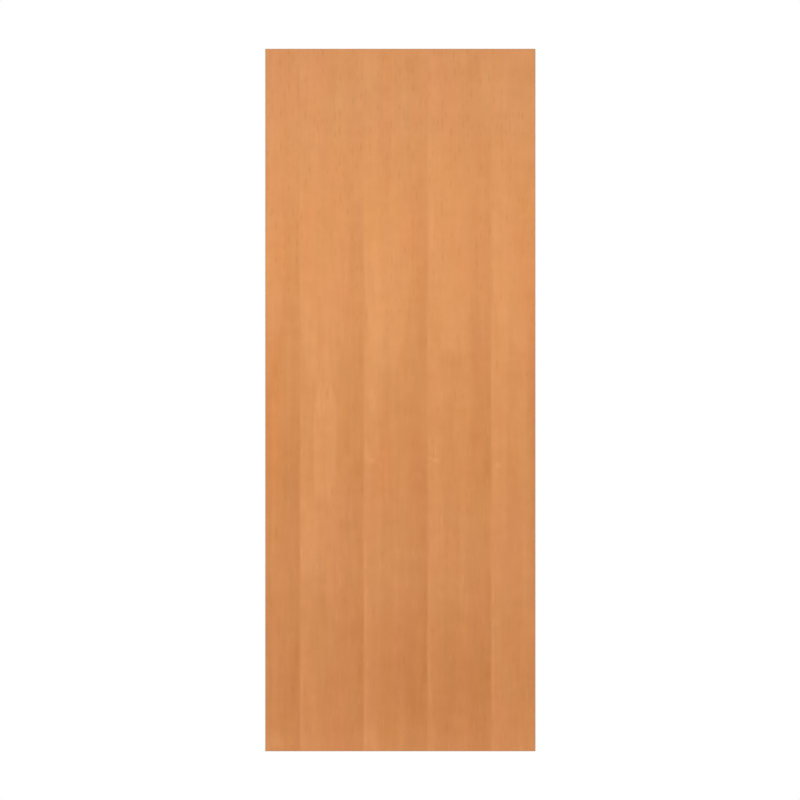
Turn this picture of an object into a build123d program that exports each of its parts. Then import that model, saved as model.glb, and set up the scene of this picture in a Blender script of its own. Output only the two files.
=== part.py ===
from build123d import *
import os

# Batten core flush door leaf: a blank, unhanded leaf with slip-matched veneer on both faces.
# Millimetres. The origin is on the hinge edge, at its foot and halfway through the thickness.
# +X runs across the leaf to the lock edge, +Z is up, and the front face looks towards -Y.

# The whole leaf
LEAF_WIDTH = 762.0
LEAF_HEIGHT = 1981.0
LEAF_THICKNESS = 35.0

# Three-ply skin on each face, from the outside in
FACE_VENEER = 0.6
CROSSBAND = 1.8
INNER_PLY = 0.6
ARRIS = 0.3

# Face veneer: full leaves off one flitch, and a first leaf trimmed to the door's edge
VENEER_LEAF = 180.0
FIRST_VENEER_LEAF = 97.0

# Core frame
LIPPING = 8.0
STILE = 38.0
RAIL = 70.0

# Tongued and grooved joints, a tongue being about a third of the core's thickness
TONGUE_THICKNESS = 9.0
LIPPING_TONGUE = 6.0
CORE_TONGUE = 10.0
GLUE_ROOM = 1.0

# Battens, upright between the rails, and the blocks that a lock is let into
BATTENS = 9
BATTEN_WIDTH = 45.0
LOCK_BLOCK_HEIGHT = 450.0

# Saw kerfs over the rails, which vent each void to the top and foot of the leaf
KERF_WIDTH = 3.0
KERF_DEPTH = 4.0

# Sizes that follow from these
CORE = LEAF_THICKNESS - 2 * (FACE_VENEER + CROSSBAND + INNER_PLY)
STILE_FACE = LIPPING + STILE
CORE_WIDTH = LEAF_WIDTH - 2 * STILE_FACE
VOID = (CORE_WIDTH - BATTENS * BATTEN_WIDTH) / (BATTENS + 1)
PITCH = BATTEN_WIDTH + VOID
CORE_GROOVE = CORE_TONGUE + GLUE_ROOM
LIPPING_GROOVE = LIPPING_TONGUE + GLUE_ROOM
LOCK_BLOCK_WIDTH = BATTEN_WIDTH + 2 * VOID
LOCK_BLOCK_FOOT = (LEAF_HEIGHT - LOCK_BLOCK_HEIGHT) / 2
LOCK_BLOCK_TOP = LOCK_BLOCK_FOOT + LOCK_BLOCK_HEIGHT

CENTRE_LINE = Axis((LEAF_WIDTH / 2, 0, 0), (0, 0, 1))
CENTRE_PLANE = Plane.YZ.offset(LEAF_WIDTH / 2)
MID_HEIGHT_PLANE = Plane.XY.offset(LEAF_HEIGHT / 2)


def strip(start, width, thickness):
    """A rectangle in plan that runs from one place along X, centred on the leaf's thickness."""
    return Pos(start + width / 2, 0) * Rectangle(width, thickness)


def upright(section, foot, top):
    """A section in plan carried straight up from its foot to its top."""
    return extrude(Pos(0, 0, foot) * section, top - foot)


def lipping():
    """The hardwood edge strip of the hinge side, with the tongue that keys it to the stile."""
    section = strip(0, LIPPING, CORE) + strip(LIPPING, LIPPING_TONGUE, TONGUE_THICKNESS)
    return upright(section, 0, LEAF_HEIGHT)


def stile():
    """The stile of the hinge side, grooved outside for the lipping and inside for the core."""
    section = strip(LIPPING, STILE, CORE)
    section -= strip(LIPPING, LIPPING_GROOVE, TONGUE_THICKNESS)
    section -= strip(STILE_FACE - CORE_GROOVE, CORE_GROOVE, TONGUE_THICKNESS)
    return upright(section, 0, LEAF_HEIGHT)


def bottom_rail():
    """The rail at the foot: tongued into both stiles, grooved for the battens and kerfed for air."""
    rail = upright(strip(STILE_FACE, CORE_WIDTH, CORE), 0, RAIL)
    tongue_length = CORE_WIDTH + 2 * CORE_TONGUE
    rail += upright(strip(STILE_FACE - CORE_TONGUE, tongue_length, TONGUE_THICKNESS), 0, RAIL)
    groove = strip(STILE_FACE - CORE_TONGUE, tongue_length, TONGUE_THICKNESS)
    rail -= upright(groove, RAIL - CORE_GROOVE, RAIL)
    kerf = Pos(0, (KERF_DEPTH - CORE) / 2) * Rectangle(KERF_WIDTH, KERF_DEPTH)
    for void in range(BATTENS + 1):
        middle = STILE_FACE + VOID / 2 + void * PITCH
        rail -= upright(Pos(middle, 0) * kerf, 0, RAIL)
    return rail


def batten(number, foot, top, foot_tongue=True, top_tongue=True):
    """A batten in one of the places across the core, counted from the hinge stile."""
    start = STILE_FACE + VOID + (number - 1) * PITCH
    piece = upright(strip(start, BATTEN_WIDTH, CORE), foot, top)
    tongue_foot = foot - CORE_TONGUE if foot_tongue else foot
    tongue_top = top + CORE_TONGUE if top_tongue else top
    return piece + upright(strip(start, BATTEN_WIDTH, TONGUE_THICKNESS), tongue_foot, tongue_top)


def lock_block():
    """The block beside the hinge stile: it fills the first batten's place and the voids beside it."""
    section = strip(STILE_FACE, LOCK_BLOCK_WIDTH, CORE)
    section += strip(STILE_FACE - CORE_TONGUE, CORE_TONGUE, TONGUE_THICKNESS)
    return upright(section, LOCK_BLOCK_FOOT, LOCK_BLOCK_TOP)


def ply(depth, thickness):
    """A sheet over the whole of the front face, at a depth below the finished surface."""
    middle = depth + (thickness - LEAF_THICKNESS) / 2
    return upright(Pos(LEAF_WIDTH / 2, middle) * Rectangle(LEAF_WIDTH, thickness), 0, LEAF_HEIGHT)


def veneer_leaves():
    """The face veneer of the front, its outer arris sanded off, parted at the joints between leaves."""
    sheet = ply(0, FACE_VENEER)
    sheet = chamfer(sheet.faces().sort_by(Axis.Y)[0].edges(), ARRIS)
    joints = [0.0, FIRST_VENEER_LEAF]
    while joints[-1] + VENEER_LEAF < LEAF_WIDTH:
        joints.append(joints[-1] + VENEER_LEAF)
    joints.append(LEAF_WIDTH)
    leaves = []
    for left, right in zip(joints, joints[1:]):
        leaves.append(sheet & upright(strip(left, right - left, LEAF_THICKNESS), 0, LEAF_HEIGHT))
    return leaves


def core_pieces():
    """Lippings, stiles, rails, battens and lock blocks, by name."""
    pieces = {
        "hinge_lipping": lipping(),
        "lock_lipping": mirror(lipping(), CENTRE_PLANE),
        "hinge_stile": stile(),
        "lock_stile": mirror(stile(), CENTRE_PLANE),
        "bottom_rail": bottom_rail(),
        "top_rail": mirror(bottom_rail(), MID_HEIGHT_PLANE),
        "spare_lock_block": lock_block(),
        "lock_block": mirror(lock_block(), CENTRE_PLANE),
    }
    for number in (1, BATTENS):
        pieces[f"batten_{number}_lower"] = batten(number, RAIL, LOCK_BLOCK_FOOT, top_tongue=False)
        pieces[f"batten_{number}_upper"] = batten(
            number, LOCK_BLOCK_TOP, LEAF_HEIGHT - RAIL, foot_tongue=False
        )
    for number in range(2, BATTENS):
        pieces[f"batten_{number}"] = batten(number, RAIL, LEAF_HEIGHT - RAIL)
    return pieces


def skin_pieces():
    """The front skin, and the same skin turned round to face backwards, by name."""
    skin = {
        "crossband": ply(FACE_VENEER, CROSSBAND),
        "inner_ply": ply(FACE_VENEER + CROSSBAND, INNER_PLY),
    }
    for number, leaf in enumerate(veneer_leaves(), start=1):
        skin[f"veneer_{number}"] = leaf
    pieces = {}
    for name, piece in skin.items():
        pieces[f"front_{name}"] = piece
        pieces[f"back_{name}"] = piece.rotate(CENTRE_LINE, 180)
    return pieces


def main():
    os.makedirs("parts", exist_ok=True)
    for name, piece in {**core_pieces(), **skin_pieces()}.items():
        export_step(piece, f"parts/{name}.step")


main()
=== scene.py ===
import bpy
import numpy as np
from bpy.props import FloatProperty, FloatVectorProperty, PointerProperty
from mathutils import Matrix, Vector


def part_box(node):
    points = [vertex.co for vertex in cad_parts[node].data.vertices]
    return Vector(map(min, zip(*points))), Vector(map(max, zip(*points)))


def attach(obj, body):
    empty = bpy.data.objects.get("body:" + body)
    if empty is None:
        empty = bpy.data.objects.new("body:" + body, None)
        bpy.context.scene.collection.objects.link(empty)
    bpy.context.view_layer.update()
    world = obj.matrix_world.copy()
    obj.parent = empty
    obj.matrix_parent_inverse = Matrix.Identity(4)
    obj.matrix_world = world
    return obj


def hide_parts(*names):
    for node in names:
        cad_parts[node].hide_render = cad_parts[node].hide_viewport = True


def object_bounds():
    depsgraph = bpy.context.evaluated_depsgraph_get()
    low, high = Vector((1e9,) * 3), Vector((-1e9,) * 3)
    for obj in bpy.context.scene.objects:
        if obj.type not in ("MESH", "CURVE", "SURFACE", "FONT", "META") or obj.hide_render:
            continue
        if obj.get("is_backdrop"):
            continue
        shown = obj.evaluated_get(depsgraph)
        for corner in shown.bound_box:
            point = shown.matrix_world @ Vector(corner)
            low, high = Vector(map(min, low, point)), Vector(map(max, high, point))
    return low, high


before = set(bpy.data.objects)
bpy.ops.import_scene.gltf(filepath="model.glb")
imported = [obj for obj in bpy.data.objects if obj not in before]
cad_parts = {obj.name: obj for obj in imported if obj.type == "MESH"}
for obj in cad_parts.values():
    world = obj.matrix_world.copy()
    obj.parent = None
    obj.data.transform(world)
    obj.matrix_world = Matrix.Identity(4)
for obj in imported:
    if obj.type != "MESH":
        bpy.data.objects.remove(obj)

bl_info = {
    "name": "Batten core flush door",
    "version": (1, 0, 0),
    "blender": (4, 5, 0),
    "location": "View3D > Sidebar > Flush Door",
    "description": "Veneers, edges and lights a blank flush door leaf around its packed frame",
    "category": "Object",
}

# Everything is in metres, in the frame's own axes: +X across the leaf, +Y to the back, +Z up
MM = 0.001
LOW, HIGH = (Vector(corner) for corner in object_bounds())
LEAF_WIDTH = HIGH.x - LOW.x
LEAF_HEIGHT = HIGH.z - LOW.z
LEAF_MIDDLE = (LOW + HIGH) / 2
BODY = "root"
BATTENS = 9

# Where the leaf lies in the photograph, in its 800 pixel frame, and how far before it the camera stands
FRAME_PX = 800.0
DOOR_HEIGHT_PX = 702.5
DOOR_MIDDLE_PX = 400.36
CAMERA_AWAY = 4.0

# The floor's reach each way, the points along each side of its grid, its pale grey and roughness, and the
# distances from the door between which it turns to white
FLOOR_REACH, FLOOR_POINTS = 60.0, 9
FLOOR_GREY, FLOOR_ROUGHNESS = 0.9, 0.8
FLOOR_FADE = (0.8, 2.6)

# Large square lamps: where each stands from the door's foot, and its share of a full lamp's power
LAMP_SIZE = 2.4
LAMPS = {
    "key": ((-2.2, -3.2, 2.0), 1.0),
    "fill": ((2.6, -3.0, 0.9), 0.8),
    "back_key": ((2.4, 3.2, 2.0), 1.0),
    "back_fill": ((-2.6, 3.0, 0.9), 0.8),
    "overhead": ((0.0, 0.0, 5.0), 0.75),
}

# The grey of the world's even light, and the kinds of ray that see a white backdrop instead
AMBIENT_GREY = 0.8
BACKDROP_RAYS = ("Is Camera Ray", "Is Glossy Ray", "Is Transmission Ray")

# The steps of a veneer leaf's surface across and up, and how many steps round one of its edges
STEP_ACROSS, STEP_UP, ROUND_STEPS = 6 * MM, 20 * MM, 4

# A full veneer leaf as it came off the knife. The flitch map gives a point's place across that full leaf and
# its height, the slice attribute how deep in the flitch the leaf was cut, and the tongue attribute the
# height where its pale figure ends in a rounded tip.
FULL_LEAF = 180 * MM
FLITCH_MAP = "flitch"
SLICE_ATTRIBUTE = "slice"
TONGUE_ATTRIBUTE = "tongue"

# Each face's leaves from left to right as one looks at it: slice, and height of the tongue's tip
FACES = {
    "front": ((0, 1.02), (1, 1.00), (2, 1.07), (3, 1.12), (4, 1.13)),
    "back": ((9, 1.05), (8, 1.16), (7, 0.98), (6, 1.10), (5, 0.90)),
}

# Small figure: the first and last slice that show it, its place across the full leaf and its height, its
# reach each way, the share of that reach over which it fades out, and how much paler or darker it makes the
# tone, which runs from 0, darkest, to 1, palest. Names begin with outer for slice 0, tongue for slice 1,
# bright for slice 2, inner for slice 3 and last for slice 4. The rest comes back from leaf to leaf.
MARKS = {
    "outer_shade": ((0, 0), 0.150, 0.78, 0.078, 0.16, 1.0, -0.08),
    "outer_cloud": ((0, 0), 0.110, 1.08, 0.038, 0.15, 1.0, -0.13),
    "outer_edge": ((0, 0), 0.084, 0.75, 0.024, 0.75, 0.6, -0.08),
    "outer_glow": ((0, 0), 0.120, 0.03, 0.050, 0.06, 1.0, 0.08),
    "tongue_core": ((1, 1), 0.072, 0.867, 0.037, 0.183, 0.3, 0.14),
    "tongue_shoulder": ((1, 1), 0.140, 1.18, 0.035, 0.27, 0.8, 0.05),
    "tongue_before": ((1, 1), 0.018, 0.92, 0.030, 0.22, 1.0, -0.02),
    "tongue_behind": ((1, 1), 0.150, 0.70, 0.030, 0.20, 1.0, -0.03),
    "tongue_below": ((1, 1), 0.050, 0.61, 0.070, 0.23, 1.0, 0.13),
    "tongue_above": ((1, 1), 0.082, 1.46, 0.036, 0.14, 1.0, -0.07),
    "tongue_foot": ((1, 1), 0.090, 0.08, 0.090, 0.12, 1.0, 0.07),
    "tongue_flank": ((1, 1), 0.135, 0.21, 0.045, 0.17, 1.0, 0.06),
    "tongue_corner": ((1, 1), 0.170, 0.03, 0.026, 0.09, 1.0, 0.08),
    "tongue_strip": ((1, 1), 0.012, 0.24, 0.035, 0.14, 1.0, 0.05),
    "bright_core": ((2, 2), 0.062, 1.32, 0.042, 0.23, 0.6, 0.045),
    "bright_strip": ((2, 2), 0.018, 0.96, 0.022, 0.14, 0.8, 0.02),
    "bright_edge": ((2, 2), 0.127, 1.50, 0.030, 0.10, 1.0, 0.055),
    "bright_patch": ((2, 2), 0.076, 0.49, 0.040, 0.12, 1.0, 0.05),
    "bright_foot": ((2, 2), 0.015, 0.03, 0.045, 0.06, 1.0, 0.12),
    "bright_cloud": ((2, 2), 0.150, 0.13, 0.045, 0.09, 1.0, -0.06),
    "inner_streak": ((3, 3), 0.014, 1.46, 0.008, 0.15, 1.0, 0.06),
    "inner_left": ((3, 3), 0.025, 1.24, 0.030, 0.20, 1.0, -0.06),
    "inner_right": ((3, 3), 0.145, 0.94, 0.032, 0.26, 1.0, -0.07),
    "inner_tip": ((3, 3), 0.062, 1.01, 0.034, 0.11, 1.0, 0.06),
    "inner_shade": ((3, 3), 0.050, 0.27, 0.060, 0.33, 1.0, -0.11),
    "inner_edge": ((3, 3), 0.150, 0.75, 0.030, 0.11, 1.0, -0.05),
    "inner_head": ((3, 3), 0.135, 1.72, 0.050, 0.20, 1.0, -0.06),
    "inner_foot": ((3, 3), 0.078, 0.03, 0.036, 0.07, 1.0, -0.08),
    "last_head": ((4, 4), 0.080, 1.90, 0.045, 0.10, 1.0, -0.07),
    "last_cloud": ((4, 4), 0.050, 0.34, 0.032, 0.09, 1.0, -0.08),
    "last_strip": ((4, 4), 0.010, 0.50, 0.035, 0.12, 1.0, 0.06),
    "last_shade": ((4, 4), 0.090, 1.45, 0.050, 0.50, 1.0, -0.07),
    "last_edge": ((4, 4), 0.125, 0.87, 0.032, 0.48, 1.0, -0.15),
    "head_glow": ((1, 9), 0.022, 1.88, 0.030, 0.13, 1.0, 0.045),
    "head_shade": ((1, 9), 0.130, 1.93, 0.040, 0.09, 1.0, -0.07),
    "edge_shade": ((1, 9), 0.166, 0.80, 0.020, 0.09, 1.0, -0.06),
    "lower_shade": ((1, 9), 0.168, 0.61, 0.014, 0.05, 0.7, -0.06),
    "foot_shade": ((1, 9), 0.172, 0.22, 0.011, 0.045, 0.7, -0.07),
    "foot_cloud": ((2, 3), 0.110, 0.20, 0.110, 0.16, 1.0, -0.07),
    "foot_haze": ((4, 9), 0.080, 0.18, 0.110, 0.16, 1.0, -0.05),
    "pale_hook": ((1, 9), 0.095, 0.43, 0.004, 0.06, 1.0, 0.06),
    "fleck": ((2, 3), 0.024, 0.820, 0.018, 0.012, 1.0, 0.16),
    "fleck_heel": ((2, 3), 0.009, 0.828, 0.011, 0.010, 1.0, 0.09),
    "fleck_rise": ((2, 3), 0.007, 0.858, 0.005, 0.036, 1.0, 0.09),
    "low_fleck": ((4, 9), 0.020, 0.806, 0.016, 0.013, 1.0, 0.12),
}

# Redder places, and cooler ones with a share below 0, given in the same way, each with its share of a full
# blush. Then the shares by which a full blush changes the red, the green and the blue.
BLUSHES = {
    "outer_blush": ((0, 0), 0.105, 0.88, 0.048, 0.48, 1.0, 0.90),
    "tongue_chill": ((1, 1), 0.090, 1.02, 0.060, 0.16, 1.0, -0.40),
    "bright_blush": ((2, 2), 0.070, 0.81, 0.050, 0.18, 1.0, 0.35),
    "bright_chill": ((2, 2), 0.140, 1.10, 0.035, 0.20, 1.0, -0.30),
    "bright_head": ((2, 2), 0.135, 1.82, 0.050, 0.18, 1.0, -0.30),
    "inner_blush": ((3, 3), 0.130, 0.85, 0.055, 0.25, 1.0, 0.35),
    "last_blush": ((4, 4), 0.110, 1.30, 0.045, 0.45, 1.0, 0.50),
}
BLUSH = (0.04, -0.02, -0.094)

# How the ground tone changes from the foot to the head, both counted from 0 to 1
GROUND = (
    (0.0, 0.57), (0.03, 0.46), (0.06, 0.41), (0.11, 0.38), (0.18, 0.37), (0.25, 0.42), (0.33, 0.43),
    (0.41, 0.455), (0.5, 0.50), (0.6, 0.56), (0.7, 0.615), (0.85, 0.62), (0.92, 0.60), (1.0, 0.575),
)

# How a full leaf runs from pale on its left to dark near its right edge, the value that leaves the tone
# alone, and how much that changes the tone from the foot to the head
PROFILE = (
    (0.0, 1.0), (0.09, 0.95), (0.21, 0.84), (0.30, 0.62), (0.55, 0.58), (0.68, 0.40), (0.80, 0.12),
    (0.93, 0.0), (1.0, 0.15),
)
PROFILE_LEVEL = 0.5
CONTRAST = (
    (0.0, 0.16), (0.11, 0.20), (0.2, 0.17), (0.35, 0.16), (0.5, 0.17), (0.62, 0.14), (0.75, 0.10),
    (0.85, 0.06), (1.0, 0.03),
)

# How warm the wood is from the foot to the head, the saturation of the coolest wood, and what full warmth
# adds to it
WARMTH = (
    (0.0, 0.36), (0.1, 0.48), (0.16, 0.44), (0.23, 0.30), (0.30, 0.28), (0.39, 0.54), (0.44, 0.66),
    (0.54, 0.61), (0.6, 0.69), (0.66, 0.87), (0.73, 0.94), (0.8, 0.81), (0.86, 0.53), (0.92, 0.31),
    (1.0, 0.22),
)
COOL_SATURATION, WARMTH_SATURATION = 0.994, 0.032

# The tongue is an arch: its middle, how far aside its flanks stand, and how much higher they are by there
TONGUE_MIDDLE, TONGUE_ASIDE, TONGUE_RISE = 66 * MM, 62 * MM, 0.22

# Where the middle of the bead beside a joint lies
BEAD_MIDDLE = 5.5 * MM

# Dashes along the grain: the cell each lies in, its half width and half length, its change of tone, and a
# number that sets its random draws apart. Then where its middle may lie in the width of its cell, and what
# share of its full length it may have.
DASHES = {
    "dark": ((12 * MM, 48 * MM), (4.2 * MM, 24 * MM), -0.15, 0.0),
    "pale": ((9 * MM, 70 * MM), (3 * MM, 30 * MM), 0.14, 20.0),
    "pore": ((0.9 * MM, 9 * MM), (0.2 * MM, 4 * MM), -0.15, 40.0),
}
DASH_MIDDLES = (0.35, 0.65)
DASH_LENGTHS = (0.35, 1.0)
PORE_SHARE = 0.6

# Noise: its size on each axis of the vector that it is given, how many finer layers it has, how strong they
# are, and how much it changes what it is added to. In the veneer the axes run across the leaf, into the
# flitch and up the leaf, and in timber and plies the last one runs along the grain.
NOISE = {
    "wander": ((120 * MM, 2.0, 500 * MM), 1.0, 0.5, 10 * MM),
    "fibre": ((0.7 * MM, 0.5, 20 * MM), 2.0, 0.5, 1.0),
    "fine": ((4.5 * MM, 0.7, 16 * MM), 1.0, 0.5, 0.022),
    "wide": ((45 * MM, 1.6, 600 * MM), 1.0, 0.5, 0.15),
    "figure": ((18 * MM, 1.4, 200 * MM), 1.0, 0.5, 0.09),
    "streaks": ((10 * MM, 1.0, 60 * MM), 1.0, 0.5, 0.06),
    "ribbons": ((13 * MM, 1.2, 170 * MM), 1.0, 0.5, 1.0),
    "clouds": ((50 * MM, 1.0, 45 * MM), 2.0, 0.5, 0.22),
    "ragged_tip": ((14 * MM, 1.0, 100 * MM), 1.0, 0.5, 0.16),
    "broken_bead": ((0.8, 0.8, 120 * MM), 1.0, 0.5, 1.0),
    "crowds": ((50 * MM, 1.0, 200 * MM), 1.0, 0.5, 0.6),
    "patches": ((50 * MM, 0.6, 160 * MM), 1.0, 0.5, 1.2),
    "hue": ((80 * MM, 250 * MM, 0.8), 0.0, 0.5, 0.008),
    # The next one makes the painted darker, greyer rim along the outline ragged, fibre by fibre
    "rim_ragging": ((0.8 * MM, 0.8 * MM, 12 * MM), 2.0, 0.7, 10 * MM),
    "timber_bend": ((30 * MM, 30 * MM, 700 * MM), 2.0, 0.5, 1.5),
    "timber_seasons": ((1.3, 1.0, 1.0), 1.0, 0.5, 1.0),
    "timber_fibres": ((0.7 * MM, 0.7 * MM, 30 * MM), 3.0, 0.6, 1.0),
    "timber_strands": ((3 * MM, 3 * MM, 120 * MM), 2.0, 0.5, 0.4),
    "timber_clouds": ((12 * MM, 12 * MM, 200 * MM), 2.0, 0.5, 0.5),
    "timber_pores": ((0.4 * MM, 0.4 * MM, 8 * MM), 0.0, 0.5, 1.0),
    "saw_marks": ((1.6 * MM, 100 * MM, 10 * MM), 1.0, 0.5, 1.2),
    "ply_fibres": ((0.8 * MM, 0.6 * MM, 30 * MM), 2.0, 0.5, 1.0),
    "ply_clouds": ((20 * MM, 4 * MM, 300 * MM), 2.0, 0.5, 0.8),
}

# Ramps: the two values that each runs between, and what it gives at the first and at the second of them
RAMPS = {
    "joint_eases": (0.0, 5 * MM, 0.2, 1.0),
    "seam": (0.20 * MM, 0.06 * MM, 0.0, -0.18),
    "bead": (5.5 * MM, 0.5 * MM, 0.0, 0.09),
    "bead_comes": (-0.12, 0.10, 0.0, 1.0),
    "bead_fades": (0.72, 0.50, 0.0, 1.0),
    "tongue_outline": (-0.03, 0.05, 0.0, 1.0),
    "tongue_fades": (1.75, 1.15, 0.0, 0.065),
    "tongue_shows": (1.10, 0.85, 0.0, 0.04),
    "figure_fades": (1.6, 0.5, 0.75, 1.05),
    "ribbons": (-0.05, 0.05, -0.017, 0.017),
    "dark_share": (1.1, 1.85, 0.05, 0.52),
    "dark_fibres": (-0.15, 0.15, 0.3, 1.7),
    "pale_share": (1.3, 0.6, 0.0, 0.16),
    "sheen": (-0.2, 0.2, 0.62, 0.48),
    # The next one sets how much of the painted darker, greyer rim shows, by distance in from the door's
    # outline
    "rim_share": (5 * MM, 0.5 * MM, 0.0, 0.55),
    "late_wood_builds": (0.30, 0.88, 0.0, 1.0),
    "late_wood_ends": (1.0, 0.94, 0.0, 1.0),
    "timber_pore": (0.14, 0.24, 0.0, 1.0),
    "glue_line": (0.16 * MM, 0.05 * MM, 0.0, 0.8),
}

# Gloss that all the wood has, and the roughness of its sawn timber and its plies
GLOSS = {"IOR": 1.45, "Specular_IOR_Level": 0.3}
TIMBER_ROUGHNESS, PLY_ROUGHNESS = 0.65, 0.7

# How much the finest fibres and pores change the tone and the relief, how deep the relief is, and how much
# deeper it is on a sawn piece
VENEER_FIBRE = 0.085
TIMBER_FIBRE_TONE, TIMBER_FIBRE_RELIEF = 0.7, 0.6
TIMBER_PORE_TONE, TIMBER_PORE_RELIEF = 0.35, -0.5
PLY_FIBRE_TONE = 0.9
TIMBER_RELIEF = 0.08 * MM
SAW_RELIEF = 0.06 * MM

# Solid timber: its palest tone, how far apart its rings are, and how strongly they show
TIMBER_TONE = 0.15
LIPPING_RING, LIPPING_BANDING = 4.2 * MM, 0.35
CORE_RING, CORE_BANDING = 3.5 * MM, 0.6

# Where the pith runs, on the two axes across the grain. A rail's lies behind it, and below it by its drop.
LIPPING_PITH, CORE_PITH = (0.38, 0.16), (0.20, 0.05)
RAIL_PITH, RAIL_DROPS = 0.045, {"top_rail": 0.06, "bottom_rail": 0.02}

# A ply's tone in the middle, and its palest and darkest wood as shares of its colour
PLY_TONE, PLY_PALEST, PLY_DARKEST = 0.5, 1.18, 0.72


class VeneerSettings(bpy.types.PropertyGroup):
    """Sizes and colours of the face veneer."""

    arris: FloatProperty(
        name="Arris radius", description="How far the outer edges are sanded round",
        default=0.4 * MM, unit="LENGTH",
    )
    joint_ease: FloatProperty(
        name="Joint ease", description="How far the edges are rounded where two leaves meet",
        default=0.05 * MM, unit="LENGTH",
    )
    hollow: FloatProperty(
        name="Hollow over voids", description="How far the skin sinks midway between two battens",
        default=0.05 * MM, unit="LENGTH",
    )
    pore_depth: FloatProperty(
        name="Pore depth", description="How deep the open pores of the wood are",
        default=0.1 * MM, unit="LENGTH",
    )
    dark: FloatVectorProperty(
        name="Dark veneer", description="Colour of the darkest wood in a leaf",
        default=(0.483, 0.173, 0.044), subtype="COLOR",
    )
    middling: FloatVectorProperty(
        name="Middling veneer", description="Colour of most of the veneer",
        default=(0.641, 0.266, 0.092), subtype="COLOR",
    )
    pale: FloatVectorProperty(
        name="Pale veneer", description="Colour of the palest figure",
        default=(0.826, 0.384, 0.160), subtype="COLOR",
    )
    # A darker, greyer colour painted in a rim along the door's outline, fading out a few millimetres in
    rim_colour: FloatVectorProperty(
        name="Outline rim", description="Darker, greyer colour painted in a rim along the door's outline",
        default=(0.48, 0.26, 0.135), subtype="COLOR",
    )


class TimberSettings(bpy.types.PropertyGroup):
    """Colours of the solid timber and the plies, which show at the edges of the leaf."""

    lipping_early: FloatVectorProperty(
        name="Lipping, early wood", description="Paler colour in the hardwood lippings",
        default=(0.62, 0.27, 0.105), subtype="COLOR",
    )
    lipping_late: FloatVectorProperty(
        name="Lipping, late wood", description="Darker colour in the hardwood lippings",
        default=(0.44, 0.165, 0.055), subtype="COLOR",
    )
    core_early: FloatVectorProperty(
        name="Core, early wood", description="Paler colour in the softwood core",
        default=(0.78, 0.57, 0.34), subtype="COLOR",
    )
    core_late: FloatVectorProperty(
        name="Core, late wood", description="Darker colour of the softwood's growth rings",
        default=(0.56, 0.32, 0.13), subtype="COLOR",
    )
    crossband: FloatVectorProperty(
        name="Crossband", description="Colour of the thick middle ply",
        default=(0.54, 0.33, 0.17), subtype="COLOR",
    )
    inner_ply: FloatVectorProperty(
        name="Inner ply", description="Colour of the thin ply on the core",
        default=(0.64, 0.42, 0.24), subtype="COLOR",
    )
    glue: FloatVectorProperty(
        name="Glue line", description="Colour of the cured glue between plies",
        default=(0.20, 0.10, 0.045), subtype="COLOR",
    )


class StageSettings(bpy.types.PropertyGroup):
    """The level of the studio's light."""

    ambient: FloatProperty(
        name="Ambient", description="Strength of the even light from all round", default=0.55, min=0.0,
    )
    lamp: FloatProperty(
        name="Lamps", description="Power of each large soft lamp", default=55.0, min=0.0, unit="POWER",
    )


class Nodes:
    """The nodes of one shader tree, each added by a short call that returns the socket of its result."""

    def __init__(self, tree):
        self.tree = tree

    def add(self, kind, inputs=(), **properties):
        """A node of one kind. Inputs are (place or name, socket or value) pairs."""
        node = self.tree.nodes.new(kind)
        for name, value in properties.items():
            setattr(node, name, value)
        for place, value in inputs:
            self.fill(node.inputs[place], value)
        return node

    def fill(self, socket, value):
        """Links a socket to another one, or sets it to a value."""
        if isinstance(value, bpy.types.NodeSocket):
            self.tree.links.new(value, socket)
        else:
            socket.default_value = value

    def math(self, operation, *terms):
        return self.add("ShaderNodeMath", tuple(enumerate(terms)), operation=operation).outputs[0]

    def chained(self, operation, terms):
        """One result of many terms, taken in one after another."""
        result = terms[0]
        for term in terms[1:]:
            result = self.math(operation, result, term)
        return result

    def total(self, *terms):
        return self.chained("ADD", terms)

    def product(self, *terms):
        return self.chained("MULTIPLY", terms)

    def least(self, *terms):
        return self.chained("MINIMUM", terms)

    def most(self, *terms):
        return self.chained("MAXIMUM", terms)

    def vector(self, x, y, z):
        return self.add("ShaderNodeCombineXYZ", ((0, x), (1, y), (2, z))).outputs[0]

    def split(self, vector):
        node = self.add("ShaderNodeSeparateXYZ", ((0, vector),))
        return node.outputs[0], node.outputs[1], node.outputs[2]

    def mixed(self, share, first, second):
        """The first shader where share is 0 and the second where it is 1."""
        return self.add("ShaderNodeMixShader", ((0, share), (1, first), (2, second))).outputs[0]

    def backdrop_seen(self):
        """1 for a ray that sees the white backdrop, and 0 for one that brings light to the door."""
        path = self.add("ShaderNodeLightPath").outputs
        return self.most(*(path[ray] for ray in BACKDROP_RAYS))


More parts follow.
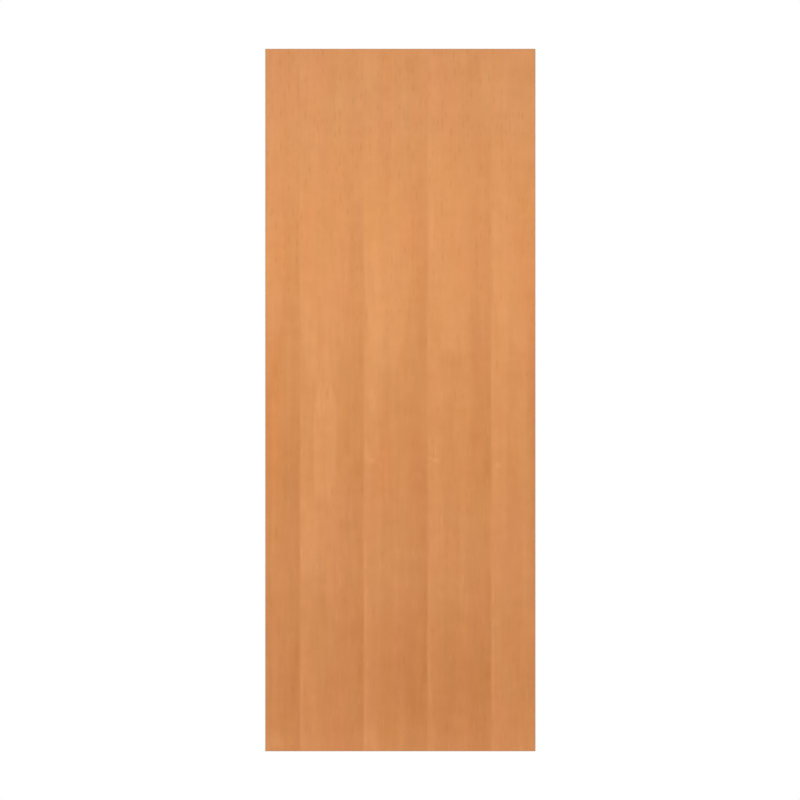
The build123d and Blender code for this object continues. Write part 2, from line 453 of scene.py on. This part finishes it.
class Pattern(Nodes):
    """The nodes of one material, which end in its shader."""

    def __init__(self, name):
        self.material = bpy.data.materials.new(name)
        self.material.use_nodes = True
        super().__init__(self.material.node_tree)
        self.shader = self.tree.nodes["Principled BSDF"]

    def place(self):
        """A point's own coordinates, in metres."""
        return self.split(self.add("ShaderNodeTexCoord").outputs["Object"])

    def layer(self, name, vector):
        """One of the noises, from about half its change less to half its change more."""
        size, detail, roughness, change = NOISE[name]
        scale = [1 / length for length in size]
        scaled = self.add("ShaderNodeMapping", (("Vector", vector), ("Scale", scale))).outputs[0]
        inputs = (("Vector", scaled), ("Scale", 1.0), ("Detail", detail), ("Roughness", roughness))
        found = self.add("ShaderNodeTexNoise", inputs).outputs["Fac"]
        return self.product(self.math("SUBTRACT", found, 0.5), change)

    def ranged(self, value, low, high, to_low=0.0, to_high=1.0, kind="SMOOTHSTEP"):
        """Goes from to_low to to_high while the value goes from low to high, and no further."""
        inputs = (("Value", value), ("From Min", low), ("From Max", high))
        inputs += (("To Min", to_low), ("To Max", to_high))
        return self.add("ShaderNodeMapRange", inputs, interpolation_type=kind).outputs[0]

    def ramp(self, name, value):
        """One of the ramps."""
        return self.ranged(value, *RAMPS[name])

    def random(self, vector):
        """Three numbers from 0 to 1, drawn at random for each different vector."""
        return self.split(self.add("ShaderNodeTexWhiteNoise", (("Vector", vector),)).outputs["Color"])

    def dashes(self, across, height, layer, cell, reach, share):
        """Short upright dashes, 0 outside and at most 1 in their middle. The surface is laid out in columns
        of cells, each column slid up by its own distance, and a share of the cells hold a dash. Its place
        and its length are drawn at random, and a short dash is a faint one."""
        over = self.math("DIVIDE", across, cell[0])
        column = self.math("FLOOR", over)
        slide = self.random(self.vector(column, layer, 0.5))[0]
        up = self.total(self.math("DIVIDE", height, cell[1]), slide)
        drawn, place, size = self.random(self.vector(column, layer, self.math("FLOOR", up)))
        held = self.math("LESS_THAN", drawn, share)
        middle = self.ranged(place, 0.0, 1.0, *DASH_MIDDLES, kind="LINEAR")
        length = self.ranged(size, 0.0, 1.0, *DASH_LENGTHS, kind="LINEAR")
        aside = self.product(self.math("SUBTRACT", self.math("FRACT", over), middle), cell[0] / reach[0])
        along = self.product(self.total(self.math("FRACT", up), -0.5), cell[1] / reach[1])
        parts = (aside, self.math("DIVIDE", along, length))
        away = self.math("SQRT", self.total(*(self.math("POWER", part, 2.0) for part in parts)))
        return self.product(self.ranged(away, 1.0, 0.0), length, held)

    def spot(self, across, height, centre, reach, edge):
        """1 at a centre and 0 outside the rounded oblong that reaches so far each way. It falls smoothly over
        the outer share of that reach which edge gives. Distance is the fourth root of the summed fourth
        powers of the two parts."""
        parts = []
        for value, middle, length in zip((across, height), centre, reach):
            part = self.math("DIVIDE", self.math("SUBTRACT", value, middle), length)
            parts.append(self.math("POWER", part, 4.0))
        return self.ranged(self.math("POWER", self.total(*parts), 0.25), 1.0, 1.0 - edge)

    def curve(self, value, points):
        """A smooth curve through points from 0 to 1 each way."""
        node = self.add("ShaderNodeFloatCurve", (("Value", value),))
        line = node.mapping.curves[0].points
        line[0].location, line[1].location = points[0], points[-1]
        for place, height in points[1:-1]:
            line.new(place, height)
        node.mapping.update()
        return node.outputs[0]

    def colours(self, value, *stops):
        """A ramp through evenly spaced colours."""
        node = self.add("ShaderNodeValToRGB", (("Fac", value),))
        ramp = node.color_ramp.elements
        while len(ramp) < len(stops):
            ramp.new(1.0)
        for number, (element, colour) in enumerate(zip(ramp, stops)):
            element.position, element.color = number / (len(stops) - 1), (*colour, 1.0)
        return node.outputs["Color"]

    def blended(self, share, first, second):
        """The first colour where share is 0 and the second where it is 1."""
        inputs = ((0, share), (6, first), (7, second))
        return self.add("ShaderNodeMix", inputs, data_type="RGBA").outputs[2]

    def surface(self, **values):
        """Sets or links the shader's own sockets."""
        for name, value in values.items():
            self.fill(self.shader.inputs[name.replace("_", " ")], value)

    def bumped(self, height, distance):
        """Relief of a height from 0 to 1 that stands so far proud."""
        relief = self.add("ShaderNodeBump", (("Height", height), ("Distance", distance))).outputs[0]
        self.surface(Normal=relief)


class VeneerPattern(Pattern):
    """Slip-matched face veneer. Its tone is worked out in a leaf's own flitch coordinates, so every leaf
    repeats the figure, a little changed by how much deeper it was cut. The grain wanders a few millimetres
    from side to side as it rises."""

    def __init__(self, name):
        super().__init__(name)
        self.across, self.height, _ = self.split(self.add("ShaderNodeUVMap", uv_map=FLITCH_MAP).outputs[0])
        self.deep = self.add("ShaderNodeAttribute", attribute_name=SLICE_ATTRIBUTE).outputs["Fac"]
        self.tip = self.add("ShaderNodeAttribute", attribute_name=TONGUE_ATTRIBUTE).outputs["Fac"]
        self.part_way_up = self.math("DIVIDE", self.height, LEAF_HEIGHT)
        self.point = self.vector(self.across, self.deep, self.height)
        self.strand = self.total(self.across, self.layer("wander", self.point))
        self.grain = self.vector(self.strand, self.deep, self.height)
        self.fibre = self.layer("fibre", self.grain)
        joints = [self.math("ABSOLUTE", self.total(self.across, -joint)) for joint in (0.0, FULL_LEAF)]
        self.from_joint = self.least(*joints)

    def ground(self):
        """The tone up the leaf, and the band that darkens each leaf from left to right. The band eases off
        in the last few millimetres before a joint."""
        profile = self.curve(self.math("DIVIDE", self.across, FULL_LEAF), PROFILE)
        contrast = self.curve(self.part_way_up, CONTRAST)
        eased = self.ramp("joint_eases", self.from_joint)
        band = self.product(self.total(profile, -PROFILE_LEVEL), contrast, eased)
        return self.total(self.curve(self.part_way_up, GROUND), band)

    def tongue(self):
        """The pale tongue: above a curve that rises from the tip with the fourth power of the distance
        aside. It shows most where it reaches down into darker wood, and is lost near the head."""
        aside = self.math("DIVIDE", self.total(self.across, -TONGUE_MIDDLE), TONGUE_ASIDE)
        arch = self.total(self.tip, self.product(self.math("POWER", aside, 4.0), TONGUE_RISE))
        above = self.total(self.math("SUBTRACT", self.height, arch), self.layer("ragged_tip", self.grain))
        strength = self.total(self.ramp("tongue_fades", self.height), self.ramp("tongue_shows", self.height))
        return self.product(self.ramp("tongue_outline", above), strength)

    def marks(self, table):
        """Every mark of a table, each in the slices that show it."""
        found = []
        for (first, last), across, height, wide, tall, edge, change in table.values():
            spot = self.spot(self.across, self.height, (across, height), (wide, tall), edge)
            from_middle = self.math("ABSOLUTE", self.total(self.deep, -(first + last) / 2))
            shown = self.math("LESS_THAN", from_middle, (last - first + 1) / 2)
            found.append(self.product(spot, shown, change))
        return self.total(*found)

    def bead(self):
        """A pale bead that runs up beside each joint, and comes and goes."""
        beside = self.ramp("bead", self.math("ABSOLUTE", self.total(self.across, -BEAD_MIDDLE)))
        broken = self.layer("broken_bead", self.vector(self.deep, self.deep, self.height))
        return self.product(beside, self.ramp("bead_comes", broken), self.ramp("bead_fades", self.height))

    def figure(self):
        """Streaks and ribbons of several sizes, fainter towards the head, and clouds, which aren't."""
        streaks = [self.layer(name, self.grain) for name in ("wide", "figure", "streaks")]
        streaks.append(self.ramp("ribbons", self.layer("ribbons", self.grain)))
        fading = self.product(self.total(*streaks), self.ramp("figure_fades", self.height))
        return self.total(fading, self.layer("clouds", self.grain))

    def dashed(self, kind, share):
        """One kind of dash along the grain, in a share of its cells."""
        cell, reach, change, draw = DASHES[kind]
        layer = self.total(self.deep, draw)
        return self.product(self.dashes(self.strand, self.height, layer, cell, reach, share), change)

    def dark_dashes(self):
        """Dashes in darker fibres, in crowds, and most of them towards the head."""
        share = self.total(self.ramp("dark_share", self.height), self.layer("crowds", self.point))
        return self.product(self.dashed("dark", share), self.ramp("dark_fibres", self.fibre))

    def pale_dashes(self):
        """A few pale dashes towards the foot."""
        return self.dashed("pale", self.ramp("pale_share", self.height))

    def pores(self):
        """Open pores, finer than anything that shows from across a room."""
        return self.dashed("pore", PORE_SHARE)

    def seam(self):
        """A hairline of glue where two leaves meet."""
        return self.ramp("seam", self.from_joint)

    def warmed(self, wood):
        """The wood's colour, warmer and cooler by its height, its blushes and soft patches."""
        warmth = self.product(self.curve(self.part_way_up, WARMTH), WARMTH_SATURATION)
        hue = self.total(0.5, self.layer("hue", self.vector(self.across, self.height, self.deep)))
        inputs = (("Color", wood), ("Hue", hue), ("Saturation", self.total(COOL_SATURATION, warmth)))
        warm = self.add("ShaderNodeHueSaturation", inputs).outputs[0]
        blush = self.total(self.marks(BLUSHES), self.layer("patches", self.point))
        inputs = ((0, self.vector(blush, blush, blush)), (1, BLUSH), (2, (1.0, 1.0, 1.0)))
        tint = self.add("ShaderNodeVectorMath", inputs, operation="MULTIPLY_ADD").outputs[0]
        return self.add("ShaderNodeVectorMath", ((0, warm), (1, tint)), operation="MULTIPLY").outputs[0]

    def rim_share(self):
        """How much of the darker, greyer rim colour is painted in: most at the door's outline, less fibre by
        fibre inside it, and none from a few millimetres in."""
        x, y, z = self.place()
        inward = [self.total(x, -LOW.x), self.math("SUBTRACT", HIGH.x, x)]
        inward += [self.total(z, -LOW.z), self.math("SUBTRACT", HIGH.z, z)]
        rim_ragging = self.layer("rim_ragging", self.vector(x, y, z))
        return self.ramp("rim_share", self.total(self.least(*inward), rim_ragging))


def veneer_material(look):
    """The face veneer's colour from its tone, with a darker, greyer rim painted along the door's outline, and
    relief from its fibres, dashes and pores."""
    p = VeneerPattern("face_veneer")
    relief = p.total(p.layer("fine", p.grain), p.product(p.fibre, VENEER_FIBRE), p.dark_dashes(), p.pores())
    tone = p.total(p.ground(), p.tongue(), p.marks(MARKS), p.bead(), p.figure(), p.pale_dashes(), p.seam())
    wood = p.warmed(p.colours(p.total(tone, relief), look.dark, look.middling, look.pale))
    # The door's outline gets a painted darker, greyer rim
    p.surface(Base_Color=p.blended(p.rim_share(), wood, (*look.rim_colour, 1.0)), **GLOSS)
    p.surface(Roughness=p.ramp("sheen", p.fibre))
    p.bumped(relief, look.pore_depth)
    return p.material


def timber_material(name, early, late, ring, banding, pith, along, sawn=False):
    """Solid timber as a field in space: rings about a pith that runs along one axis, seen as streaks on the
    long grain and as arcs on the end grain, with fine pores that are dashes one way and dots the other.
    Banding is how strongly the rings show. A sawn piece keeps the marks of its cross-cuts."""
    p = Pattern(name)
    x, y, z = p.place()
    first, second, run = {"x": (y, z, x), "z": (x, y, z)}[along]
    point = p.vector(first, second, run)
    from_pith = [p.total(place, -middle) for place, middle in zip((first, second), pith)]
    radius = p.math("SQRT", p.total(*(p.product(part, part) for part in from_pith)))
    turns = p.math("DIVIDE", p.total(radius, p.product(p.layer("timber_bend", point), ring)), ring)
    phase = p.math("FRACT", turns)
    late_wood = p.product(p.ramp("late_wood_builds", phase), p.ramp("late_wood_ends", phase))

    # No two rings are alike, and fibres finer than a millimetre run through them all
    season = p.product(p.layer("timber_seasons", p.vector(turns, 0.0, 0.0)), banding)
    rings = p.product(late_wood, p.total(banding, season))
    fibres = p.layer("timber_fibres", point)
    pores = p.ramp("timber_pore", p.layer("timber_pores", point))
    shades = p.total(p.layer("timber_strands", point), p.layer("timber_clouds", point))
    finest = p.total(p.product(fibres, TIMBER_FIBRE_TONE), p.product(pores, TIMBER_PORE_TONE))
    tone = p.total(TIMBER_TONE, rings, shades, finest)
    p.surface(Base_Color=p.colours(tone, early, late), Roughness=TIMBER_ROUGHNESS, **GLOSS)
    relief = p.total(p.product(fibres, TIMBER_FIBRE_RELIEF), p.product(pores, TIMBER_PORE_RELIEF))
    if sawn:
        relief = p.total(relief, p.layer("saw_marks", p.vector(x, y, z)))
    p.bumped(relief, TIMBER_RELIEF + sawn * SAW_RELIEF)
    return p.material


def ply_material(name, colour, glue, along, glue_depths):
    """A ply of rotary-cut veneer, with the dark glue lines on its two faces. Depth is how far a point lies
    below the nearer face of the door, so the same formula serves the front skin and the back one."""
    p = Pattern(name)
    x, y, z = p.place()
    across, run = {"x": (z, x), "z": (x, z)}[along]
    point = p.vector(across, y, run)
    fibres = p.layer("ply_fibres", point)
    tone = p.total(PLY_TONE, p.product(fibres, PLY_FIBRE_TONE), p.layer("ply_clouds", point))
    paler, darker = (tuple(shade * share for share in colour) for shade in (PLY_PALEST, PLY_DARKEST))
    depth = p.least(p.total(y, -LOW.y), p.math("SUBTRACT", HIGH.y, y))
    gaps = [p.math("ABSOLUTE", p.total(depth, -line)) for line in glue_depths]
    glued = p.ramp("glue_line", p.least(*gaps))
    wood = p.blended(glued, p.colours(tone, paler, darker), (*glue, 1.0))
    p.surface(Base_Color=wood, Roughness=PLY_ROUGHNESS, **GLOSS)
    p.bumped(fibres, TIMBER_RELIEF)
    return p.material


def mesh_piece(name, points, faces):
    """An object whose mesh holds these points and faces, with nothing moved, turned or scaled."""
    mesh = bpy.data.meshes.new(name)
    mesh.from_pydata(points.tolist(), [], faces.tolist())
    mesh.update()
    piece = bpy.data.objects.new(name, mesh)
    bpy.context.scene.collection.objects.link(piece)
    return piece


def grid_faces(rows, columns):
    """Quads of a grid numbered row by row: each takes a point, the next in its row, and the two above."""
    corner = np.arange(rows * columns).reshape(rows, columns)[:-1, :-1].ravel()
    return np.stack((corner, corner + 1, corner + columns + 1, corner + columns), axis=1)


def slab(front, back):
    """Closes two grids of points into one skin. The front's quads keep their order, the back's are turned
    over, and a rim of quads joins the two round their edges."""
    rows, columns = front.shape[:2]
    count = rows * columns
    number = np.arange(count).reshape(rows, columns)
    rim = np.concatenate((number[0, :-1], number[:-1, -1], number[-1, :0:-1], number[:0:-1, 0]))
    after = np.roll(rim, -1)
    faces = grid_faces(rows, columns)
    sides = np.stack((rim, rim + count, after + count, after), axis=1)
    points = np.concatenate((front.reshape(-1, 3), back.reshape(-1, 3)))
    return points, np.concatenate((faces, faces[:, ::-1] + count, sides))


def eased(low, high, spacing, low_radius, high_radius):
    """Places along a length: even steps between the two ends, and at each end the steps of a quarter
    round, radius times (1 - cos) of evenly spaced angles."""
    turn = 1 - np.cos(np.linspace(0, np.pi / 2, ROUND_STEPS + 1))
    steps = max(round((high - low) / spacing), 2)
    inner = np.linspace(low + low_radius, high - high_radius, steps)
    return np.concatenate((low + low_radius * turn[:-1], inner, high - high_radius * turn[-2::-1]))


def rounded(distance, radius):
    """How far a quarter round of a radius falls at a distance inside the edge:
    r - sqrt(r^2 - (r - d)^2), and nothing once d is past r."""
    inside = np.clip(radius - distance, 0, radius)
    return radius - np.sqrt(radius ** 2 - inside ** 2)


def hollows(x, z, depth):
    """The skin sinks over each void between battens by depth times the squared sine of the place across
    the void. Lock blocks and rails hold it flat."""
    sunk = np.zeros_like(x)
    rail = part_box("bottom_rail")[1].z
    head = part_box("top_rail")[0].z
    block_foot, block_head = (corner.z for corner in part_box("lock_block"))
    block_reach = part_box("batten_2")[0].x
    uprights = [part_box(f"batten_{number}") for number in range(2, BATTENS)]
    outer = [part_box(f"batten_{number}_lower") for number in (1, BATTENS)]
    edges = [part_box("hinge_stile"), outer[0], *uprights, outer[1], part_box("lock_stile")]
    for left, right in zip(edges, edges[1:]):
        low, high = left[1].x, right[0].x
        part = np.clip((x - low) / (high - low), 0, 1)
        open_here = (z > rail) & (z < head)
        beside_block = (low < block_reach) | (high > LEAF_WIDTH - block_reach)
        if beside_block:
            open_here &= (z < block_foot) | (z > block_head)
        sunk += np.where(open_here, depth * np.sin(np.pi * part) ** 2, 0)
    return sunk


def veneer_leaf(name, node, outward, slice_place, tip, look, material):
    """One leaf of face veneer. Its outer face is a height field over its width and the door's height: flat,
    less the hollows, less a quarter round wherever it meets the door's outline or the next leaf. Its inner
    face is flat."""
    low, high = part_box(node)
    at_outline = (low.x - LOW.x < MM, HIGH.x - high.x < MM)
    radii = [look.arris if outer else look.joint_ease for outer in at_outline]
    x = eased(low.x, high.x, STEP_ACROSS, *radii)
    z = eased(low.z, high.z, STEP_UP, look.arris, look.arris)
    if outward > 0:
        x = x[::-1]
    gx, gz = np.meshgrid(x, z)
    falls = (
        rounded(gx - low.x, radii[0]), rounded(high.x - gx, radii[1]),
        rounded(gz - low.z, look.arris), rounded(high.z - gz, look.arris),
        hollows(gx, gz, look.hollow),
    )
    outer_face = low.y if outward < 0 else high.y
    inner_face = high.y if outward < 0 else low.y
    front = np.stack((gx, outer_face - outward * np.max(falls, axis=0), gz), axis=-1)
    back = np.stack((gx, np.full_like(gx, inner_face), gz), axis=-1)
    piece = mesh_piece(name, *slab(front, back))
    map_flitch(piece.data, low, high, outward, slice_place, tip)
    piece.data.materials.append(material)
    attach(piece, BODY)
    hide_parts(node)


def map_flitch(mesh, low, high, outward, slice_place, tip):
    """Gives each corner its place in the flitch: the distance across from the leaf's left edge, as one looks
    at the face, and the height. A leaf trimmed on its left keeps its right-hand part of a full leaf."""
    points = np.empty(len(mesh.vertices) * 3, np.float32)
    mesh.vertices.foreach_get("co", points)
    points = points.reshape(-1, 3)
    left_to_right = points[:, 0] - low.x if outward < 0 else high.x - points[:, 0]
    trimmed_left = (low.x - LOW.x < MM) if outward < 0 else (HIGH.x - high.x < MM)
    if trimmed_left:
        left_to_right = left_to_right + FULL_LEAF - (high.x - low.x)
    place = np.stack((left_to_right, points[:, 2]), axis=1)
    corner = np.empty(len(mesh.loops), np.int32)
    mesh.loops.foreach_get("vertex_index", corner)
    mesh.uv_layers.new(name=FLITCH_MAP).data.foreach_set("uv", place[corner].ravel())
    for name, value in ((SLICE_ATTRIBUTE, slice_place), (TONGUE_ATTRIBUTE, tip)):
        numbers = np.full(len(mesh.vertices), value, np.float32)
        mesh.attributes.new(name, "FLOAT", "POINT").data.foreach_set("value", numbers)


def finish_nodes(material, *names):
    """Gives CAD nodes a better material, and leaves their shapes alone."""
    for name in names:
        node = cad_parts[name]
        node.data.materials.clear()
        node.data.materials.append(material)


class DOOR_OT_veneer(bpy.types.Operator):
    """Lay the ten leaves of face veneer"""

    bl_idname = "door.veneer"
    bl_label = "Face Veneer"

    def execute(self, context):
        look = context.scene.door_veneer
        material = veneer_material(look)
        for face, outward in (("front", -1), ("back", 1)):
            for number, (slice_place, tip) in enumerate(FACES[face], start=1):
                name = f"{face}_veneer_leaf_{number}"
                veneer_leaf(name, f"{face}_veneer_{number}", outward, slice_place, tip, look, material)
        return {"FINISHED"}


class DOOR_OT_edges(bpy.types.Operator):
    """Finish the lippings, plies and rails that show at the door's edges, and the core behind them"""

    bl_idname = "door.edges"
    bl_label = "Edges and Core"

    def execute(self, context):
        wood = context.scene.door_timber
        shown = ("lipping", "rail", "crossband", "inner_ply", "veneer")
        core = [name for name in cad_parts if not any(word in name for word in shown)]
        hardwood = wood.lipping_early, wood.lipping_late, LIPPING_RING, LIPPING_BANDING, LIPPING_PITH
        finish_nodes(timber_material("lipping_hardwood", *hardwood, "z"), "hinge_lipping", "lock_lipping")
        softwood = wood.core_early, wood.core_late, CORE_RING, CORE_BANDING
        finish_nodes(timber_material("core_softwood", *softwood, CORE_PITH, "z"), *core)
        for node, drop in RAIL_DROPS.items():
            pith = (RAIL_PITH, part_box(node)[0].z - drop)
            finish_nodes(timber_material(f"{node}_softwood", *softwood, pith, "x", sawn=True), node)
        layers = [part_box(f"front_{ply}") for ply in ("veneer_1", "crossband", "inner_ply")]
        seams = [layer[1].y - LOW.y for layer in layers]
        plies = (("crossband", wood.crossband, "x", seams[:2]), ("inner_ply", wood.inner_ply, "z", seams[1:]))
        for ply, colour, along, depths in plies:
            finish_nodes(ply_material(ply, colour, wood.glue, along, depths), f"front_{ply}", f"back_{ply}")
        return {"FINISHED"}


class DOOR_OT_stage(bpy.types.Operator):
    """Set up the floor, the soft lamps, the world and the camera"""

    bl_idname = "door.stage"
    bl_label = "Stage"

    def execute(self, context):
        studio = context.scene.door_stage
        make_floor()
        make_lamps(studio)
        make_world(context.scene, studio)
        make_camera(context.scene)
        context.scene.view_settings.view_transform = "Standard"
        return {"FINISHED"}


def make_floor():
    """A wide level square at the door's foot, on even steps each way. Away from the door, rays that see the
    backdrop see it turn to white."""
    steps = np.linspace(-FLOOR_REACH, FLOOR_REACH, FLOOR_POINTS)
    gx, gy = np.meshgrid(LEAF_MIDDLE.x + steps, LEAF_MIDDLE.y + steps)
    points = np.stack((gx, gy, np.full_like(gx, LOW.z)), axis=-1)
    floor = mesh_piece("floor", points.reshape(-1, 3), grid_faces(*gx.shape))
    p = Pattern("pale_floor")
    p.surface(Base_Color=(FLOOR_GREY, FLOOR_GREY, FLOOR_GREY, 1.0), Roughness=FLOOR_ROUGHNESS)
    x, y, _ = p.place()
    ends = ((0, p.vector(x, y, 0.0)), (1, (LEAF_MIDDLE.x, LEAF_MIDDLE.y, 0.0)))
    away = p.add("ShaderNodeVectorMath", ends, operation="DISTANCE").outputs["Value"]
    fade = p.product(p.ranged(away, *FLOOR_FADE), p.backdrop_seen())
    white = p.add("ShaderNodeEmission", (("Strength", 1.0),)).outputs[0]
    p.fill(p.tree.nodes["Material Output"].inputs["Surface"], p.mixed(fade, p.shader.outputs[0], white))
    floor.data.materials.append(p.material)
    floor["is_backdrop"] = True


def make_lamps(studio):
    """Large square lamps round the door, each turned to its middle."""
    foot = Vector((LEAF_MIDDLE.x, LEAF_MIDDLE.y, LOW.z))
    for name, (offset, share) in LAMPS.items():
        lamp = bpy.data.lights.new(name, "AREA")
        lamp.shape, lamp.size = "SQUARE", LAMP_SIZE
        lamp.energy = studio.lamp * share
        holder = bpy.data.objects.new(name, lamp)
        bpy.context.scene.collection.objects.link(holder)
        holder.location = foot + Vector(offset)
        holder.rotation_euler = (holder.location - LEAF_MIDDLE).to_track_quat("Z", "Y").to_euler()


def make_world(scene, studio):
    """White to the rays that see the backdrop, and an even light on everything else."""
    world = bpy.data.worlds.new("studio")
    world.use_nodes = True
    nodes = Nodes(world.node_tree)
    grey = (AMBIENT_GREY, AMBIENT_GREY, AMBIENT_GREY, 1.0)
    light = nodes.add("ShaderNodeBackground", (("Color", grey), ("Strength", studio.ambient))).outputs[0]
    white = nodes.tree.nodes["Background"]
    nodes.fill(white.inputs["Color"], (1.0, 1.0, 1.0, 1.0))
    nodes.fill(white.inputs["Strength"], 1.0)
    seen = nodes.mixed(nodes.backdrop_seen(), light, white.outputs[0])
    nodes.fill(nodes.tree.nodes["World Output"].inputs["Surface"], seen)
    scene.world = world


def make_camera(scene):
    """Square on to the front face, level with the door's middle, with no perspective."""
    camera = bpy.data.cameras.new("camera")
    camera.type = "ORTHO"
    pixel = LEAF_HEIGHT / DOOR_HEIGHT_PX
    camera.ortho_scale = FRAME_PX * pixel
    holder = bpy.data.objects.new("camera", camera)
    scene.collection.objects.link(holder)
    aside = (DOOR_MIDDLE_PX - FRAME_PX / 2) * pixel
    holder.location = (LEAF_MIDDLE.x - aside, LOW.y - CAMERA_AWAY, LEAF_MIDDLE.z)
    holder.rotation_euler = (np.pi / 2, 0, 0)
    scene.camera = holder


class DOOR_PT_panel(bpy.types.Panel):
    """The door's settings and steps."""

    bl_label = "Flush Door"
    bl_idname = "DOOR_PT_panel"
    bl_space_type = "VIEW_3D"
    bl_region_type = "UI"
    bl_category = "Flush Door"

    def draw(self, context):
        scene = context.scene
        for settings in (scene.door_veneer, scene.door_timber, scene.door_stage):
            for name in settings.__annotations__:
                self.layout.prop(settings, name)
        for step in STEPS:
            self.layout.operator(step.bl_idname)


STEPS = (DOOR_OT_veneer, DOOR_OT_edges, DOOR_OT_stage)
CLASSES = (VeneerSettings, TimberSettings, StageSettings, *STEPS, DOOR_PT_panel)


def register():
    for each in CLASSES:
        bpy.utils.register_class(each)
    bpy.types.Scene.door_veneer = PointerProperty(type=VeneerSettings)
    bpy.types.Scene.door_timber = PointerProperty(type=TimberSettings)
    bpy.types.Scene.door_stage = PointerProperty(type=StageSettings)


def unregister():
    del bpy.types.Scene.door_veneer
    del bpy.types.Scene.door_timber
    del bpy.types.Scene.door_stage
    for each in reversed(CLASSES):
        bpy.utils.unregister_class(each)


def main():
    register()
    bpy.ops.door.veneer()
    bpy.ops.door.edges()
    bpy.ops.door.stage()


if __name__ == "__main__":
    main()
